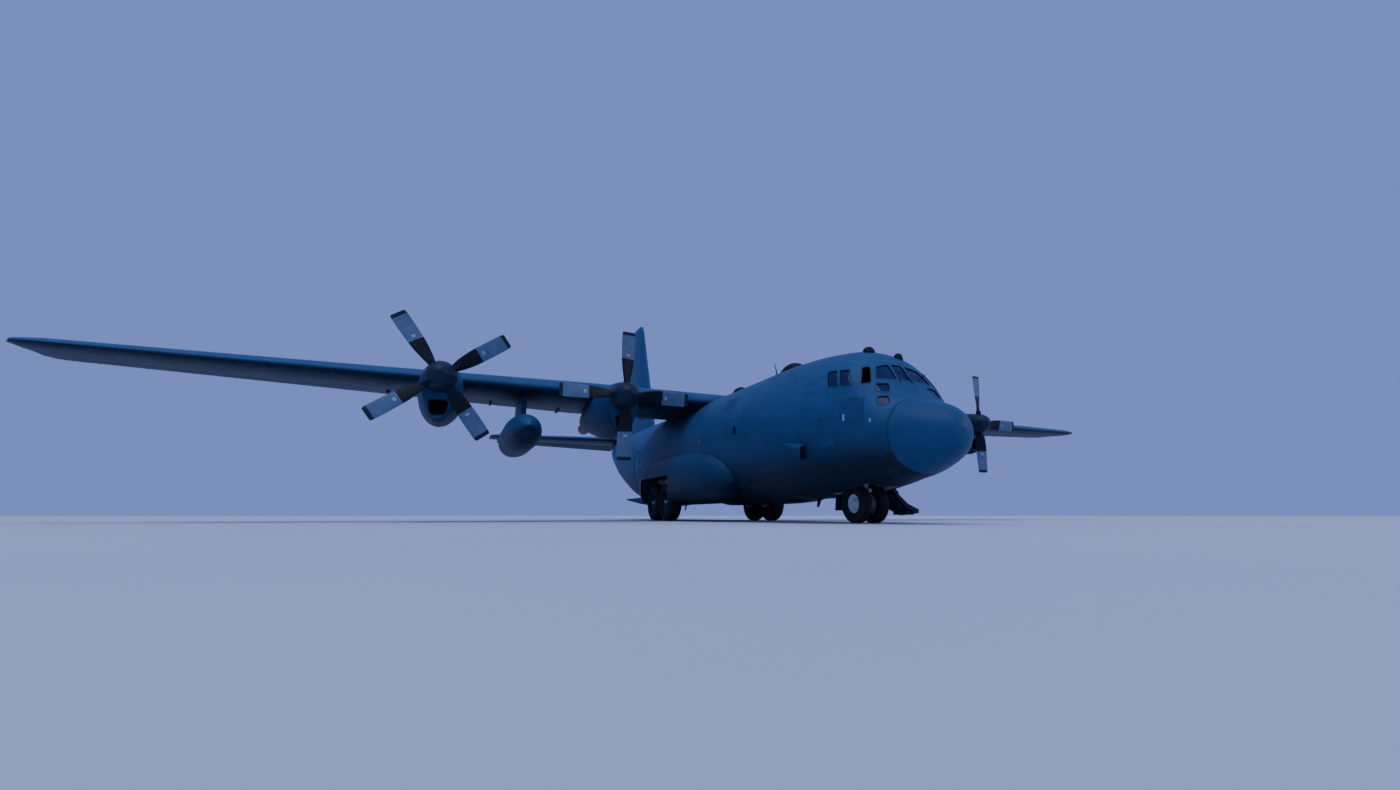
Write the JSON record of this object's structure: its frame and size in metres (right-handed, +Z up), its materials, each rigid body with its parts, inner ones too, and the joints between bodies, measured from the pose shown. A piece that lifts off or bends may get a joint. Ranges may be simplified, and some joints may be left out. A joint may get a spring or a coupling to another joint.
{
  "type": "half-size model of a military transport plane",
  "caption": "Half-size model of a high-winged turboprop military transport plane on its gear, with a hollow hold, a level tail ramp and an open crew door.",
  "frame": {"origin": "on the ground at the middle of the model's length and span, under the wing", "axes": "+X to the aircraft's port side along the span, +Y aft from nose to tail, +Z up"},
  "size_m": [20.205, 14.895, 5.83],
  "materials": {
    "airframe_grey": "matte",
    "radome_grey": "matte",
    "bare_metal": "satin",
    "tyre": "matte",
    "blade_grey": "satin",
    "glazing": "gloss",
    "inner_paint": "matte"
  },
  "bodies": {
    "airframe": {"radome": "radome_grey", "fuselage_forward": "airframe_grey", "flight_deck_glazing": "glazing", "flight_deck_floor": "inner_paint", "fuselage_centre": "airframe_grey", "side_door_port": "airframe_grey", "side_door_starboard": "airframe_grey", "wheel_well_liner_port": "inner_paint", "wheel_well_liner_starboard": "inner_paint", "cargo_floor": "inner_paint", "fuselage_aft": "airframe_grey", "wing_centre": "airframe_grey", "wing_outer_port": "airframe_grey", "wing_outer_starboard": "airframe_grey", "flap_inner_port": "airframe_grey", "flap_inner_starboard": "airframe_grey", "flap_outer_port": "airframe_grey", "flap_outer_starboard": "airframe_grey", "tailplane": "airframe_grey", "fin": "airframe_grey", "nacelle_outer_starboard": "airframe_grey", "nacelle_inner_starboard": "airframe_grey", "nacelle_inner_port": "airframe_grey", "nacelle_outer_port": "airframe_grey", "engine_outer_starboard": "bare_metal", "engine_inner_starboard": "bare_metal", "engine_inner_port": "bare_metal", "engine_outer_port": "bare_metal", "fuel_tank_port": "airframe_grey", "fuel_tank_starboard": "airframe_grey", "sponson_port": "airframe_grey", "sponson_starboard": "airframe_grey", "main_leg_fore_port": "bare_metal", "main_leg_aft_port": "bare_metal", "main_leg_fore_starboard": "bare_metal", "main_leg_aft_starboard": "bare_metal", "nose_gear_bay": "inner_paint", "nose_gear_door": "airframe_grey", "nose_strut": "bare_metal"},
    "prop_outer_starboard": {"propeller_outer_starboard": "blade_grey"},
    "prop_inner_starboard": {"propeller_inner_starboard": "blade_grey"},
    "prop_inner_port": {"propeller_inner_port": "blade_grey"},
    "prop_outer_port": {"propeller_outer_port": "blade_grey"},
    "wheel_fore_port": {"main_wheel_fore_port": "tyre"},
    "wheel_aft_port": {"main_wheel_aft_port": "tyre"},
    "wheel_fore_starboard": {"main_wheel_fore_starboard": "tyre"},
    "wheel_aft_starboard": {"main_wheel_aft_starboard": "tyre"},
    "nose_steering": {"nose_steering_leg": "bare_metal"},
    "nose_twin": {"nose_wheels": "tyre"},
    "crew_stair": {"crew_door": "airframe_grey"},
    "tail_ramp": {"ramp": "airframe_grey"},
    "tail_door": {"cargo_door": "airframe_grey"},
    "aileron_left": {"aileron_port": "airframe_grey"},
    "aileron_right": {"aileron_starboard": "airframe_grey"},
    "elevator_left": {"elevator_port": "airframe_grey"},
    "elevator_right": {"elevator_starboard": "airframe_grey"},
    "rudder_blade": {"rudder": "airframe_grey"}
  },
  "joints": [
    {"name": "prop_outer_starboard_spin", "type": "hinge", "parent": "airframe", "child": "prop_outer_starboard", "pos_m": [-5.115, -3.0175, 2.005], "axis": [0, 1, 0], "continuous": true},
    {"name": "prop_inner_starboard_spin", "type": "hinge", "parent": "airframe", "child": "prop_inner_starboard", "pos_m": [-2.485, -3.0175, 1.96], "axis": [0, 1, 0], "continuous": true},
    {"name": "prop_inner_port_spin", "type": "hinge", "parent": "airframe", "child": "prop_inner_port", "pos_m": [2.485, -3.0175, 1.96], "axis": [0, 1, 0], "continuous": true},
    {"name": "prop_outer_port_spin", "type": "hinge", "parent": "airframe", "child": "prop_outer_port", "pos_m": [5.115, -3.0175, 2.005], "axis": [0, 1, 0], "continuous": true},
    {"name": "wheel_fore_port_roll", "type": "hinge", "parent": "airframe", "child": "wheel_fore_port", "pos_m": [1.0875, -1.1925, 0.355], "axis": [1, 0, 0], "continuous": true},
    {"name": "wheel_aft_port_roll", "type": "hinge", "parent": "airframe", "child": "wheel_aft_port", "pos_m": [1.0875, -0.4325, 0.355], "axis": [1, 0, 0], "continuous": true},
    {"name": "wheel_fore_starboard_roll", "type": "hinge", "parent": "airframe", "child": "wheel_fore_starboard", "pos_m": [-1.0875, -1.1925, 0.355], "axis": [1, 0, 0], "continuous": true},
    {"name": "wheel_aft_starboard_roll", "type": "hinge", "parent": "airframe", "child": "wheel_aft_starboard", "pos_m": [-1.0875, -0.4325, 0.355], "axis": [1, 0, 0], "continuous": true},
    {"name": "nose_steer", "type": "hinge", "parent": "airframe", "child": "nose_steering", "pos_m": [0, -5.6975, 0.35], "axis": [0, 0, 1], "range_deg": [-60, 60]},
    {"name": "nose_wheels_roll", "type": "hinge", "parent": "nose_steering", "child": "nose_twin", "pos_m": [0, -5.6975, 0.2475], "axis": [1, 0, 0], "continuous": true},
    {"name": "crew_door_swing", "type": "hinge", "parent": "airframe", "child": "crew_stair", "pos_m": [0.702, -5.1825, 0.471], "axis": [0, 1, 0], "range_deg": [-95, 0]},
    {"name": "ramp_swing", "type": "hinge", "parent": "airframe", "child": "tail_ramp", "pos_m": [0, 1.5525, 0.3625], "axis": [1, 0, 0], "range_deg": [-11, 16]},
    {"name": "cargo_door_swing", "type": "hinge", "parent": "airframe", "child": "tail_door", "pos_m": [0, 5.1875, 1.675], "axis": [1, 0, 0], "range_deg": [0, 28]},
    {"name": "aileron_port_swing", "type": "hinge", "parent": "airframe", "child": "aileron_left", "pos_m": [6.7, -0.4654, 2.26935], "axis": [0.994, -0.1097, 0.0045], "range_deg": [-15, 25]},
    {"name": "aileron_starboard_swing", "type": "hinge", "parent": "airframe", "child": "aileron_right", "pos_m": [-6.7, -0.4654, 2.26935], "axis": [0.994, 0.1097, -0.0045], "range_deg": [-15, 25]},
    {"name": "elevator_port_swing", "type": "hinge", "parent": "airframe", "child": "elevator_left", "pos_m": [0.31, 6.48085, 2.31], "axis": [1, -0.0005, 0], "range_deg": [0, 55]},
    {"name": "elevator_starboard_swing", "type": "hinge", "parent": "airframe", "child": "elevator_right", "pos_m": [-0.31, 6.48085, 2.31], "axis": [1, 0.0005, 0], "range_deg": [0, 55]},
    {"name": "rudder_swing", "type": "hinge", "parent": "airframe", "child": "rudder_blade", "pos_m": [0, 5.6085, 2.9], "axis": [0, 0.0621, 0.9981], "range_deg": [-35, 35]}
  ]
}
